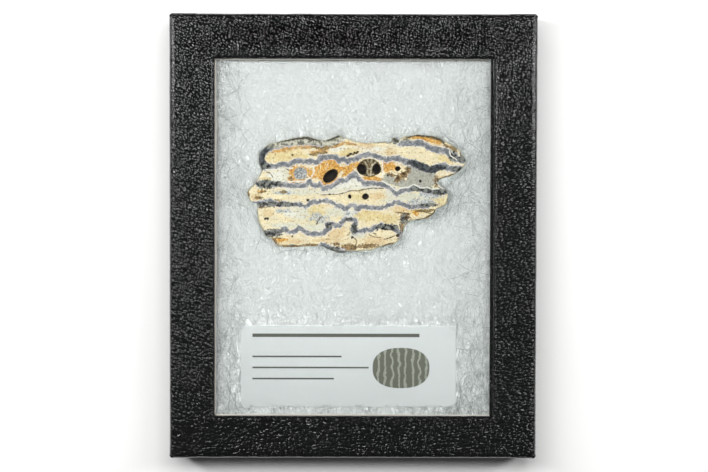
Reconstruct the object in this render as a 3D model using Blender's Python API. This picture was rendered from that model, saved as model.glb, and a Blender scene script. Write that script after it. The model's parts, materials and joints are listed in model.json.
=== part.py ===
# Polished cross-section of a mammoth molar, fixed in a shallow display case with a glass lid.
# The case lies flat. Its origin is the middle of its underside, +Z points up through the glass,
# and +Y points to the edge that is uppermost when the case is looked down on.
# Every size below is in millimetres and is turned into metres where a mesh is made.

import math

import bmesh
import bpy
from mathutils import Vector, noise

MM = 0.001
FIT_GAP = 0.3               # air left between two pieces that touch

# Case, a telescoping box of covered board
CASE_WIDTH = 115.2
CASE_LENGTH = 139.4
CASE_HEIGHT = 19.0
CORNER_ROUND = 0.9          # upright corners, seen from above
RIM_EDGE_ROUND = 1.0        # where the lid's top turns down into its walls
WALL_BOARD = 1.6            # board and its covering
RIM_BOARD = 2.0             # the lid's flat rim
SKIRT_CLEARANCE = 0.8       # the lid's walls stop this far above the table
TRAY_PLAY = 0.4             # between the lid's walls and the tray's
WINDOW = (-43.4, 43.9, -56.4, 55.5)     # left, right, near and far edge of the see-through part
WINDOW_LIP_ROUND = 1.2      # the covering rolls over the window's edge down to the glass
WINDOW_CORNER_ROUND = 0.25

# What lies in the case
GLASS_THICKNESS = 2.0
BATTING_TOP = 13.6
BATTING_EDGE_ROUND = 3.0
LABEL_CENTRE = (-1.4, -41.2)
LABEL_SIZE = (67.8, 25.6)
LABEL_THICKNESS = 0.4
SLICE_THICKNESS = 6.0
POCKET_PLAY = 0.8           # the batting stands back this far round the slice

# Edge of the slice, clockwise from its left tip, seen from above
SLICE_EDGE = (
    # left tip and the hollow above it
    (-33.4, 13.3), (-32.9, 14.6), (-31.2, 16.0), (-30.4, 17.4), (-29.3, 19.2), (-28.5, 20.9),
    # round end of the first plate
    (-29.3, 22.3), (-29.8, 24.0), (-29.3, 26.2), (-27.6, 28.0), (-25.2, 29.4),
    # upper edge, with its low hump and the dip after it
    (-21.5, 30.2), (-18.0, 30.9), (-14.4, 31.3), (-11.2, 30.4), (-8.6, 30.1), (-6.2, 31.2),
    (-4.0, 31.8), (-2.4, 30.8), (0.6, 29.8), (4.0, 29.3), (8.5, 29.6), (11.9, 29.4),
    # nib where the next lobe starts
    (12.1, 30.4), (12.8, 31.2), (14.1, 30.2), (15.6, 31.1),
    # right lobe out to its tip
    (19.9, 32.0), (24.6, 31.6), (27.5, 30.8), (30.6, 29.0), (33.3, 27.2), (34.3, 25.5),
    (35.4, 24.4), (35.1, 22.6), (33.6, 20.8), (31.5, 19.5), (28.9, 18.6),
    # deep notch, then the second lobe
    (27.0, 17.7), (26.9, 16.4), (28.9, 15.0), (29.8, 12.7), (29.0, 9.8), (26.2, 8.7),
    (25.6, 7.2), (23.4, 5.8), (19.4, 5.2), (17.5, 4.7),
    # broken step down to the lower edge
    (16.0, 3.0), (15.5, 0.6), (14.4, -1.4), (12.0, -2.7),
    # lower edge
    (8.6, -3.3), (5.2, -4.3), (0.6, -4.7), (-3.7, -4.9), (-6.8, -4.5), (-9.6, -3.4),
    (-13.2, -3.2), (-17.5, -3.4), (-21.6, -3.5), (-24.2, -2.6), (-25.6, -0.8),
    # lower left
    (-27.6, 0.0), (-28.1, 1.6), (-29.5, 3.9), (-30.0, 6.6), (-30.1, 9.0), (-30.4, 10.2),
    (-32.1, 10.7), (-33.0, 12.0),
)
EDGE_STEPS = 2              # straight steps between two points of the slice's edge
SLICE_FLANKS = (            # height from 0 to 1, how far the flank stands back there
    (0.0, 0.75), (0.1, 0.35), (0.38, 0.1), (0.68, 0.2), (0.93, 0.0), (1.0, 0.25),
)
FLANK_RELIEF = 0.3          # natural unevenness of the flanks
RELIEF_SCALE = 0.35         # bumps to the millimetre

# Hollows in the slice's upper face: x, y, half length, half width, turn in degrees, depth
CAVITIES = (
    (-7.2, 18.95, 2.85, 1.75, 24, 2.6),     # large oval hollow
    (2.7, 21.1, 1.55, 1.9, 12, 2.4),        # twin hollow, left half
    (7.35, 21.2, 1.45, 1.8, -8, 2.4),       # twin hollow, right half
    (4.7, 23.4, 0.4, 0.65, 0, 1.0),
    (5.55, 22.6, 0.35, 0.5, -20, 0.9),
    (-16.8, 19.85, 2.15, 1.8, 0, 0.7),      # shallow pocket filled with crystals
    (14.0, 21.3, 0.95, 0.8, 0, 1.8),
    (17.2, 21.3, 0.7, 0.55, 0, 0.9),
    (16.0, 19.7, 0.9, 0.5, -20, 0.8),
    (14.0, 18.4, 0.7, 0.6, 40, 0.8),
    (3.85, 12.5, 1.15, 1.05, 0, 1.5),
    (-1.1, 12.5, 0.6, 0.75, 0, 1.4),
    (16.7, 5.9, 0.6, 0.6, 0, 0.9),
    (14.0, 0.25, 0.65, 0.6, 0, 0.9),
)
CAVITY_SEGMENTS = 12
CAVITY_RINGS = 8

# Heights that follow from the sizes above
GLASS_TOP = CASE_HEIGHT - RIM_BOARD - FIT_GAP
GLASS_BOTTOM = GLASS_TOP - GLASS_THICKNESS
TRAY_TOP = GLASS_BOTTOM - FIT_GAP
SLICE_TOP = GLASS_BOTTOM - 0.4
SLICE_BOTTOM = SLICE_TOP - SLICE_THICKNESS


def clear_scene():
    for thing in list(bpy.data.objects):
        bpy.data.objects.remove(thing, do_unlink=True)


def material(name, colour, roughness, metallic=0.0, transmission=0.0, ior=1.45, alpha=1.0):
    made = bpy.data.materials.new(name)
    made.use_nodes = True
    shader = made.node_tree.nodes["Principled BSDF"]
    shader.inputs["Base Color"].default_value = (*colour, 1.0)
    shader.inputs["Roughness"].default_value = roughness
    shader.inputs["Metallic"].default_value = metallic
    shader.inputs["Transmission Weight"].default_value = transmission
    shader.inputs["IOR"].default_value = ior
    shader.inputs["Alpha"].default_value = alpha
    made.diffuse_color = (*colour, alpha)
    return made


def add_object(name, mesh, finish=None):
    piece = bpy.data.objects.new(name, mesh)
    bpy.context.scene.collection.objects.link(piece)
    if finish:
        mesh.materials.append(finish)
    return piece


def centred_rectangle(width, length):
    return (-width / 2, width / 2, -length / 2, length / 2)


def stand_back(rectangle, distance):
    left, right, near, far = rectangle
    return (left + distance, right - distance, near + distance, far - distance)


def rectangle_loop(rectangle, radius, z, corner_steps=3):
    # Counter-clockwise points of a rectangle with round corners.
    left, right, near, far = stand_back(rectangle, radius)
    corners = ((right, far, 0), (left, far, 90), (left, near, 180), (right, near, 270))
    loop = []
    for x, y, start in corners:
        for step in range(corner_steps + 1):
            angle = math.radians(start + 90 * step / corner_steps)
            loop.append((x + radius * math.cos(angle), y + radius * math.sin(angle), z))
    return loop


def solid_from_loops(name, loops, finish, is_ring=False):
    # Joins loops of equal length: a ring goes back to its first loop, a stack gets two caps.
    shape = bmesh.new()
    rows = [[shape.verts.new(Vector(point) * MM) for point in loop] for loop in loops]
    pairs = list(zip(rows, rows[1:]))
    if is_ring:
        pairs.append((rows[-1], rows[0]))
    else:
        shape.faces.new(rows[0])
        shape.faces.new(rows[-1])
    for lower, upper in pairs:
        count = len(lower)
        for index in range(count):
            following = (index + 1) % count
            shape.faces.new((lower[index], lower[following], upper[following], upper[index]))
    bmesh.ops.recalc_face_normals(shape, faces=shape.faces)
    mesh = bpy.data.meshes.new(name)
    shape.to_mesh(mesh)
    shape.free()
    return add_object(name, mesh, finish)


def cut(piece, cutter):
    cutter.hide_render = True
    cutter.display_type = "WIRE"
    boolean = piece.modifiers.new("cut_" + cutter.name, "BOOLEAN")
    boolean.operation = "DIFFERENCE"
    boolean.solver = "EXACT"
    boolean.object = cutter


def quarter_round(radius, steps=3):
    # Sideways and upward distance from the start of a rounded edge.
    for step in range(steps + 1):
        angle = math.radians(90 * step / steps)
        yield radius * (1 - math.cos(angle)), radius * math.sin(angle)


def make_tray(finish):
    outside = stand_back(centred_rectangle(CASE_WIDTH, CASE_LENGTH), WALL_BOARD + TRAY_PLAY)
    inside = stand_back(outside, WALL_BOARD)
    return solid_from_loops("case_tray", (
        rectangle_loop(outside, CORNER_ROUND, 0.0),
        rectangle_loop(outside, CORNER_ROUND, TRAY_TOP),
        rectangle_loop(inside, CORNER_ROUND / 2, TRAY_TOP),
        rectangle_loop(inside, CORNER_ROUND / 2, WALL_BOARD),
    ), finish)


def make_lid(finish):
    outside = centred_rectangle(CASE_WIDTH, CASE_LENGTH)
    inside = stand_back(outside, WALL_BOARD)
    rim_underside = CASE_HEIGHT - RIM_BOARD
    loops = [
        rectangle_loop(inside, CORNER_ROUND / 2, rim_underside),
        rectangle_loop(inside, CORNER_ROUND / 2, SKIRT_CLEARANCE),
        rectangle_loop(outside, CORNER_ROUND, SKIRT_CLEARANCE),
    ]
    for inward, up in quarter_round(RIM_EDGE_ROUND):
        edge = stand_back(outside, inward)
        loops.append(rectangle_loop(edge, CORNER_ROUND, CASE_HEIGHT - RIM_EDGE_ROUND + up))
    for inward, up in reversed(list(quarter_round(WINDOW_LIP_ROUND))):
        edge = stand_back(WINDOW, -inward)
        radius = WINDOW_CORNER_ROUND + inward
        loops.append(rectangle_loop(edge, radius, CASE_HEIGHT - WINDOW_LIP_ROUND + up))
    loops.append(rectangle_loop(WINDOW, WINDOW_CORNER_ROUND, rim_underside))
    return solid_from_loops("case_lid", loops, finish, is_ring=True)


def make_glass(finish):
    pane = stand_back(centred_rectangle(CASE_WIDTH, CASE_LENGTH), WALL_BOARD + TRAY_PLAY)
    loops = [rectangle_loop(pane, CORNER_ROUND / 2, z) for z in (GLASS_BOTTOM, GLASS_TOP)]
    return solid_from_loops("glass_pane", loops, finish)


def make_label(finish):
    card = centred_rectangle(*LABEL_SIZE)
    base = BATTING_TOP + FIT_GAP
    loops = [rectangle_loop(card, 0.2, z) for z in (base, base + LABEL_THICKNESS)]
    label = solid_from_loops("label_card", loops, finish)
    label.location = Vector((*LABEL_CENTRE, 0.0)) * MM
    return label


def smooth_edge(points, steps):
    # A closed curve through the points, as short straight steps.
    count = len(points)
    curve = []
    for index in range(count):
        before, here, following, after = (
            Vector(points[(index + shift) % count]) for shift in (-1, 0, 1, 2))
        for step in range(steps):
            t = step / steps
            curve.append(0.5 * (
                2 * here + (following - before) * t
                + (2 * before - 5 * here + 4 * following - after) * t ** 2
                + (3 * here - before - 3 * following + after) * t ** 3))
    return curve


def outward_directions(edge):
    # The edge runs clockwise, so outward is to the left of its direction.
    count = len(edge)
    directions = []
    for index in range(count):
        along = edge[(index + 1) % count] - edge[index - 1]
        directions.append(Vector((-along.y, along.x)).normalized())
    return directions


def slice_flank_loop(edge, directions, height, back):
    z = SLICE_BOTTOM + SLICE_THICKNESS * height
    is_cut_face = height in (0.0, 1.0)
    loop = []
    for point, outward in zip(edge, directions):
        spot = Vector((point.x, point.y, z)) * RELIEF_SCALE
        unevenness = 0.0 if is_cut_face else FLANK_RELIEF * noise.noise(spot)
        moved = point + outward * (min(unevenness, back + 0.1) - back)
        loop.append((moved.x, moved.y, z))
    return loop


def make_cavity_cutter():
    # Squashed balls centred on the slice's upper face, all in one mesh.
    shape = bmesh.new()
    for x, y, half_length, half_width, turn, depth in CAVITIES:
        ball = bmesh.ops.create_uvsphere(
            shape, u_segments=CAVITY_SEGMENTS, v_segments=CAVITY_RINGS, radius=MM)["verts"]
        bmesh.ops.scale(shape, vec=(half_length, half_width, depth), verts=ball)
        # A turn of half a segment keeps the ball's corners off its own mirror line.
        angle = math.radians(turn + 180 / CAVITY_SEGMENTS)
        cosine, sine = math.cos(angle), math.sin(angle)
        for vert in ball:
            east, north = vert.co.x, vert.co.y
            vert.co.x = east * cosine - north * sine + x * MM
            vert.co.y = east * sine + north * cosine + y * MM
            vert.co.z += (SLICE_TOP + 0.02) * MM
    mesh = bpy.data.meshes.new("cavities")
    shape.to_mesh(mesh)
    shape.free()
    return add_object("cavities", mesh)


def make_slice(finish):
    edge = smooth_edge(SLICE_EDGE, EDGE_STEPS)
    directions = outward_directions(edge)
    loops = [slice_flank_loop(edge, directions, height, back) for height, back in SLICE_FLANKS]
    piece = solid_from_loops("molar_slice", loops, finish)
    cut(piece, make_cavity_cutter())
    return piece


def make_pocket_cutter():
    # The slice's edge moved outwards. Points that the move brings too near it are dropped.
    edge = smooth_edge(SLICE_EDGE, 1)
    moved = [point + outward * POCKET_PLAY for point, outward in zip(edge, outward_directions(edge))]
    closest = 0.85 * POCKET_PLAY
    kept = [spot for spot in moved if min((spot - point).length for point in edge) > closest]
    floor = SLICE_BOTTOM - FIT_GAP
    loops = [[(spot.x, spot.y, z) for spot in kept] for z in (floor, CASE_HEIGHT)]
    return solid_from_loops("slice_pocket", loops, None)


def make_batting(finish):
    room = stand_back(
        centred_rectangle(CASE_WIDTH, CASE_LENGTH), 2 * WALL_BOARD + TRAY_PLAY + FIT_GAP)
    loops = [rectangle_loop(room, CORNER_ROUND, WALL_BOARD + FIT_GAP)]
    for inward, up in quarter_round(BATTING_EDGE_ROUND):
        height = BATTING_TOP - BATTING_EDGE_ROUND + up
        loops.append(rectangle_loop(stand_back(room, inward), CORNER_ROUND, height))
    piece = solid_from_loops("batting", loops, finish)
    cut(piece, make_pocket_cutter())
    return piece


def main():
    clear_scene()
    black_covering = (0.022, 0.023, 0.023)
    make_tray(material("leatherette_tray", black_covering, 0.5))
    make_batting(material("polyester_batting", (0.75, 0.79, 0.78), 0.95))
    make_slice(material("fossil_tooth", (0.72, 0.6, 0.36), 0.35))
    make_label(material("white_card", (0.63, 0.67, 0.66), 0.7))
    make_glass(material("clear_glass", (1.0, 1.0, 1.0), 0.02, transmission=1.0, ior=1.52, alpha=0.2))
    make_lid(material("leatherette_lid", black_covering, 0.45))


main()
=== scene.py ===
# A slice of fossil mammoth molar in its glass-topped specimen case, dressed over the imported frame.
# The case lies flat: x to the right, y to the case's upper edge, z up through the glass.
import json
import math

import bpy
import numpy as np
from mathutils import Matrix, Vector
from mathutils.bvhtree import BVHTree

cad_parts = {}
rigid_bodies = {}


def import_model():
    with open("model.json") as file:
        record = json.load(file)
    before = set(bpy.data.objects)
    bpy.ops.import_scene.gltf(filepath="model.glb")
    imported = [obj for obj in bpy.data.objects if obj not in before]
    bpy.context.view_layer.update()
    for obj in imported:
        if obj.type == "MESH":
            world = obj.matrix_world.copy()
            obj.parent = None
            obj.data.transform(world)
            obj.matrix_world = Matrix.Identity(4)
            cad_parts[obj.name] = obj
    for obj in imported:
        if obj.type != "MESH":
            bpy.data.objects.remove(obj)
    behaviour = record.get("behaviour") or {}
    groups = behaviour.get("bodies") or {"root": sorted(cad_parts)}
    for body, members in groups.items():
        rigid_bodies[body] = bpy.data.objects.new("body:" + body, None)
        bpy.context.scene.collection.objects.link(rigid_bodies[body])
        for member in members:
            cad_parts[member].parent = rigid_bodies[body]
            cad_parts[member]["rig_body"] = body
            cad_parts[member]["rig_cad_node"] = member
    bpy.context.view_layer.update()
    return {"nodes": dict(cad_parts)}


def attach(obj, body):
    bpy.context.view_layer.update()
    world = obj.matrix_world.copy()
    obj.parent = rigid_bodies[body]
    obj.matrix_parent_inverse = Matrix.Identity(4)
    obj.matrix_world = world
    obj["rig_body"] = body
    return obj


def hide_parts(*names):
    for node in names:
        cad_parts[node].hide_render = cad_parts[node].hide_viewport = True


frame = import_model()
mm = 0.001
print("frame loaded")


def linearColour(code):
    # an sRGB hex value as Blender's linear colour
    parts = [int(code[i:i + 2], 16) / 255 for i in (1, 3, 5)]
    return (*[p / 12.92 if p <= 0.04045 else ((p + 0.055) / 1.055) ** 2.4 for p in parts], 1.0)


def fillInputs(tree, node, values):
    # a value is a number, an sRGB hex colour, or what is linked: a socket, or a node's first output in use
    for name, value in values.items():
        if isinstance(value, bpy.types.Node):
            value = next(socket for socket in value.outputs if socket.enabled)
        if isinstance(value, bpy.types.NodeSocket):
            tree.links.new(value, node.inputs[name])
        else:
            node.inputs[name].default_value = linearColour(value) if isinstance(value, str) else value


def addNode(tree, kind, values=None, **settings):
    # settings are the node's own properties; values go to its inputs
    node = tree.nodes.new("ShaderNode" + kind)
    for name, value in settings.items():
        setattr(node, name, value)
    fillInputs(tree, node, values or {})
    return node


def newMaterial(name):
    made = bpy.data.materials.new(name)
    made.use_nodes = True
    tree = made.node_tree
    return made, tree, tree.nodes["Principled BSDF"]


def dress(piece, made):
    piece.data.materials.clear()
    piece.data.materials.append(made)


def activate(piece):
    if bpy.context.object and bpy.context.object.mode != "OBJECT":
        bpy.ops.object.mode_set(mode="OBJECT")
    bpy.ops.object.select_all(action="DESELECT")
    piece.hide_set(False)
    piece.select_set(True)
    bpy.context.view_layer.objects.active = piece


def addPrimitive(operator, name, **settings):
    bpy.ops.object.select_all(action="DESELECT")
    operator(**settings)
    piece = bpy.context.object
    piece.name = piece.data.name = name
    return piece


def settle(piece):
    # the piece's place and scale go into its mesh
    activate(piece)
    bpy.ops.object.transform_apply(location=True, rotation=True, scale=True)


def addBox(name, low, high):
    # a box between two corners, in millimetres
    low, high = np.array(low), np.array(high)
    piece = addPrimitive(bpy.ops.mesh.primitive_cube_add, name, size=1, location=(low + high) / 2 * mm)
    piece.scale = (high - low) * mm
    settle(piece)
    return piece


def applyModifier(piece, kind, **settings):
    activate(piece)
    modifier = piece.modifiers.new(kind.title(), kind)
    for name, value in settings.items():
        setattr(modifier, name, value)
    bpy.ops.object.modifier_apply(modifier=modifier.name)


def editAll(piece, operator, **settings):
    # one edit-mode operator on the whole mesh
    activate(piece)
    bpy.ops.object.mode_set(mode="EDIT")
    bpy.ops.mesh.select_all(action="SELECT")
    operator(**settings)
    bpy.ops.object.mode_set(mode="OBJECT")


def selectNone(piece, kind):
    activate(piece)
    bpy.ops.object.mode_set(mode="EDIT")
    bpy.ops.mesh.select_mode(type=kind)
    bpy.ops.mesh.select_all(action="DESELECT")
    bpy.ops.object.mode_set(mode="OBJECT")


def pickFaces(piece, test):
    # leaves the piece in edit mode with the faces that pass the test selected
    selectNone(piece, "FACE")
    for face in piece.data.polygons:
        face.select = test(face.center / mm, face.normal)
    bpy.ops.object.mode_set(mode="EDIT")


def roundEdges(piece, size, segments, test):
    # rounds the edges whose two ends pass the test
    selectNone(piece, "EDGE")
    corners = [corner.co / mm for corner in piece.data.vertices]
    for edge in piece.data.edges:
        edge.select = test(corners[edge.vertices[0]], corners[edge.vertices[1]])
    bpy.ops.object.mode_set(mode="EDIT")
    bpy.ops.mesh.bevel(offset=size * mm, segments=segments, affect="EDGES")
    bpy.ops.object.mode_set(mode="OBJECT")


def readVectors(piece, name="co"):
    flat = np.zeros(len(piece.data.vertices) * 3)
    piece.data.vertices.foreach_get(name, flat)
    return flat.reshape(-1, 3)


def readPoints(piece):
    return readVectors(piece) / mm


def writePoints(piece, points):
    piece.data.vertices.foreach_set("co", (points * mm).ravel())
    piece.data.update()


def rayTree(piece):
    # the piece in millimetres, for rays
    return BVHTree.FromPolygons([v.co / mm for v in piece.data.vertices],
                                [list(p.vertices) for p in piece.data.polygons])


def rayDown(tree, x, y):
    return tree.ray_cast(Vector((x, y, 40)), Vector((0, 0, -1)))[0]


def cutGrid(piece, axis, places):
    # cuts the whole mesh across one axis at each place, in millimetres
    activate(piece)
    bpy.ops.object.mode_set(mode="EDIT")
    normal = [0, 0, 0]
    normal[axis] = 1
    for place in places:
        bpy.ops.mesh.select_all(action="SELECT")
        bpy.ops.mesh.bisect(plane_co=[n * place * mm for n in normal], plane_no=normal)
    bpy.ops.object.mode_set(mode="OBJECT")


def lineDistance(points, line):
    # distance in millimetres from each point to a line of straight steps, seen from above
    nearest = np.full(len(points), 1e3)
    for start, end in zip(line[:-1], line[1:]):
        a, b = np.array(start), np.array(end)
        step = b - a
        along = np.clip(((points - a) @ step) / max(step @ step, 1e-9), 0, 1)
        nearest = np.minimum(nearest, np.linalg.norm(points - a - along[:, None] * step, axis=1))
    return nearest


def nearestLine(points, lines):
    return np.min([lineDistance(points, line) for line in lines], axis=0)


def patchField(points, patches):
    # 1 in the middle of each soft oval, falling to 0 outside: x, y, half length, half width and any turn
    field = np.zeros(len(points))
    for x, y, length, width, *turn in patches:
        angle = math.radians(sum(turn))
        c, s = math.cos(angle), math.sin(angle)
        dx, dy = points[:, 0] - x, points[:, 1] - y
        reach = np.hypot((dx * c + dy * s) / length, (dy * c - dx * s) / width)
        field = np.maximum(field, np.clip(1.5 - reach, 0, 1))
    return field


def ramp(values, start, width):
    # 0 up to the start, then rising to 1 over the width
    return np.clip((values - start) / width, 0, 1)


def waves(points, size, seed, turns=7):
    # soft random unevenness between about -1 and 1, with bumps of about the given size
    dice = np.random.default_rng(seed)
    total = np.zeros(len(points))
    for k in range(turns):
        angle = dice.uniform(0, 2 * math.pi)
        length = size * dice.uniform(0.7, 1.9)
        phase = (points[:, 0] * math.cos(angle) + points[:, 1] * math.sin(angle)) * 2 * math.pi / length
        total += np.sin(phase + dice.uniform(0, 2 * math.pi))
    return total / math.sqrt(turns)


def addAttribute(piece, name, values):
    made = piece.data.attributes.new(name, "FLOAT", "POINT")
    made.data.foreach_set("value", values.astype(np.float32))


studio = {
    "lens": 100, "place": (-3.35, 21.18, 634.14), "turn": (-1.952, -0.33, 0.131),   # mm and degrees
    # side of the paper floor in mm, its two tones, and how many flecks lie along it
    "floor": 2000, "paper": ("#f3f3f2", "#f8f8f7"), "flecks": 40,
    "air": "#f6f7f8", "world": 0.055, "backdrop": "#fbfbfa",
    # lamps: place, width and length in mm, watts, seen in gloss
    "lamps": {
        "overheadBox": ((-20, 116, 540), (340, 160), 1.64, False),
        "farBox": ((20, 300, 430), (520, 120), 0.7, False),
        "leftBox": ((-290, 120, 430), (64, 340), 1.25, True),
        "rightBox": ((320, 95, 430), (60, 340), 0.95, True),
    },
}


def addLamp(name, place, size, watts, glossy):
    lamp = bpy.data.lights.new(name, "AREA")
    lamp.shape = "RECTANGLE"
    lamp.size, lamp.size_y = size[0] * mm, size[1] * mm
    lamp.energy = watts
    light = bpy.data.objects.new(name, lamp)
    bpy.context.scene.collection.objects.link(light)
    light.location = Vector(place) * mm
    light.rotation_euler = Vector(place).to_track_quat("Z", "Y").to_euler()   # shines at the case
    light.visible_camera = False
    light.visible_glossy = glossy
    light.visible_transmission = False     # the glass already lets its shadow rays through


def makeStudio():
    view = bpy.data.cameras.new("camera")
    view.lens = studio["lens"]
    view.sensor_width = 36
    view.clip_start, view.clip_end = 0.01, 20
    camera = bpy.data.objects.new("camera", view)
    bpy.context.scene.collection.objects.link(camera)
    camera.location = Vector(studio["place"]) * mm
    camera.rotation_euler = [math.radians(a) for a in studio["turn"]]
    bpy.context.scene.camera = camera
    bpy.context.scene.view_settings.view_transform = "Standard"

    floor = addPrimitive(bpy.ops.mesh.primitive_plane_add, "floor", size=studio["floor"] * mm)
    # Seamless paper: matt and almost white
    paper, tree, shader = newMaterial("seamlessPaper")
    fleck = addNode(tree, "TexNoise", {"Scale": studio["flecks"], "Detail": 2})
    shade = addNode(tree, "Mix", {0: fleck, 6: studio["paper"][0], 7: studio["paper"][1]}, data_type="RGBA")
    fillInputs(tree, shader, {"Base Color": shade, "Roughness": 0.9, "Specular IOR Level": 0.1})
    dress(floor, paper)

    # Two boxes throw the soft shadow to the near side; the two side boxes give the covering its glints
    for name, (place, size, watts, glossy) in studio["lamps"].items():
        addLamp(name, place, size, watts, glossy)
    world = bpy.data.worlds.new("studioAir")
    world.use_nodes = True
    bpy.context.scene.world = world
    tree = world.node_tree
    air = tree.nodes["Background"]
    fillInputs(tree, air, {"Color": studio["air"], "Strength": studio["world"]})
    backdrop = addNode(tree, "Background", {"Color": studio["backdrop"]})
    seen = addNode(tree, "LightPath").outputs["Is Camera Ray"]
    blend = addNode(tree, "MixShader", {0: seen, 1: air, 2: backdrop})
    fillInputs(tree, tree.nodes["World Output"], {"Surface": blend})


makeStudio()
print("studio made")


covering = {
    "black": "#0a0c0b", "worn": "#191c1b", "warm": "#0c0c0b",
    # wrinkles: turn in degrees, mm across, and how far they are drawn out
    "wrinkles": [(-52, 0.78, 1.45), (4, 0.78, 1.85)],
    "turning": (-10, 40),                    # mm across the case, where the first give way to the second
    "stirSize": 5, "stir": 2.2,              # mm across the swirls that bend the wrinkles, and how far
    "fine": 0.35, "fineShare": 0.05,         # mm across the fine grain, and its share in the height
    "wear": 14,                              # mm across the warmer stretches
    "height": 0.27, "roughness": 0.17, "lacquer": 0.22, "lacquerRoughness": 0.16,
}


def makeCovering():
    # Black leather-grained paper: embossed, lacquered, so dark with small bright glints on its wrinkles
    made, tree, shader = newMaterial("leatherGrainedPaper")
    place = addNode(tree, "TexCoord").outputs["Object"]
    stir = addNode(tree, "TexNoise", {"Vector": place, "Scale": 1 / (covering["stirSize"] * mm), "Detail": 2})
    stirred = addNode(tree, "VectorMath", {
        0: stir.outputs["Color"], 1: (covering["stir"] * mm,) * 3, 2: place}, operation="MULTIPLY_ADD")
    domes = []
    for turn, size, drawn in covering["wrinkles"]:
        laid = addNode(tree, "Mapping", {
            "Vector": stirred, "Rotation": (0, 0, math.radians(turn)), "Scale": (drawn, 1, 1)},
            vector_type="TEXTURE")
        cell = addNode(tree, "TexVoronoi", {"Vector": laid, "Scale": 1 / (size * mm), "Randomness": 0.9})
        domes.append(addNode(tree, "Math", {0: cell, 1: cell}, operation="MULTIPLY"))
    # the wrinkles turn from slanting to lengthwise over the case, from its far left to its near right
    axes = addNode(tree, "SeparateXYZ", {0: place})
    slant = addNode(tree, "Math", {0: axes.outputs[0], 1: axes.outputs[1]}, operation="SUBTRACT")
    start, end = covering["turning"]
    turned = addNode(tree, "MapRange", {"Value": slant, "From Min": start * mm, "From Max": end * mm})
    dome = addNode(tree, "Mix", {0: turned, 2: domes[0], 3: domes[1]})
    fine = addNode(tree, "TexNoise", {"Vector": stirred, "Scale": 1 / (covering["fine"] * mm)})
    both = addNode(tree, "Math", {0: fine, 1: covering["fineShare"], 2: dome}, operation="MULTIPLY_ADD")
    broad = addNode(tree, "TexNoise", {"Vector": place, "Scale": 1 / (covering["wear"] * mm), "Detail": 3})
    worn = addNode(tree, "MapRange", {"Value": broad, "From Min": 0.38, "From Max": 0.68})
    tint = addNode(tree, "Mix", {0: worn, 6: covering["black"], 7: covering["warm"]}, data_type="RGBA")
    crest = addNode(tree, "MapRange", {"Value": dome, "From Min": 0.16, "From Max": 0, "To Max": 0.6})
    colour = addNode(tree, "Mix", {0: crest, 6: tint, 7: covering["worn"]}, data_type="RGBA")
    bump = addNode(tree, "Bump", {"Height": both, "Distance": covering["height"] * mm, "Strength": 1},
                   invert=True)
    fillInputs(tree, shader, {
        "Base Color": colour, "Normal": bump, "Roughness": covering["roughness"], "IOR": 1.54,
        "Coat Weight": covering["lacquer"], "Coat Roughness": covering["lacquerRoughness"]})
    return made


leatherette = makeCovering()


lid = {
    "width": 115.2, "length": 139.4, "bottom": 0.8, "top": 19.0, "underside": 17.0,
    "wall": 1.6, "cornerRound": 1.3, "edgeRound": 1.9, "lipRound": 1.2, "hemRound": 0.35,
    "window": (-43.4, 43.9, -56.4, 55.5),         # left, right, near, far
    "grid": 1.0, "wallGrid": 1.3, "proud": 0.12,
    "swells": (9.0, 3.4), "unevenness": 0.035,    # mm across the covering's swells, and their height
    # creases run out from the window's corners: the corner's two sides, and the way the crease goes
    "creases": ((0, 3, -0.75, 0.65), (1, 3, 0.7, 0.72), (1, 2, 0.3, -0.95), (0, 2, -0.8, -0.6)),
    "creaseHeight": 0.16, "creaseWidth": 0.5, "creaseLength": 3.2, "creaseFrom": 17.4,
    "tabDepth": 0.13, "tabReach": 9.0, "tabStep": 0.8,     # end tabs folded round the corners
}


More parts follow.
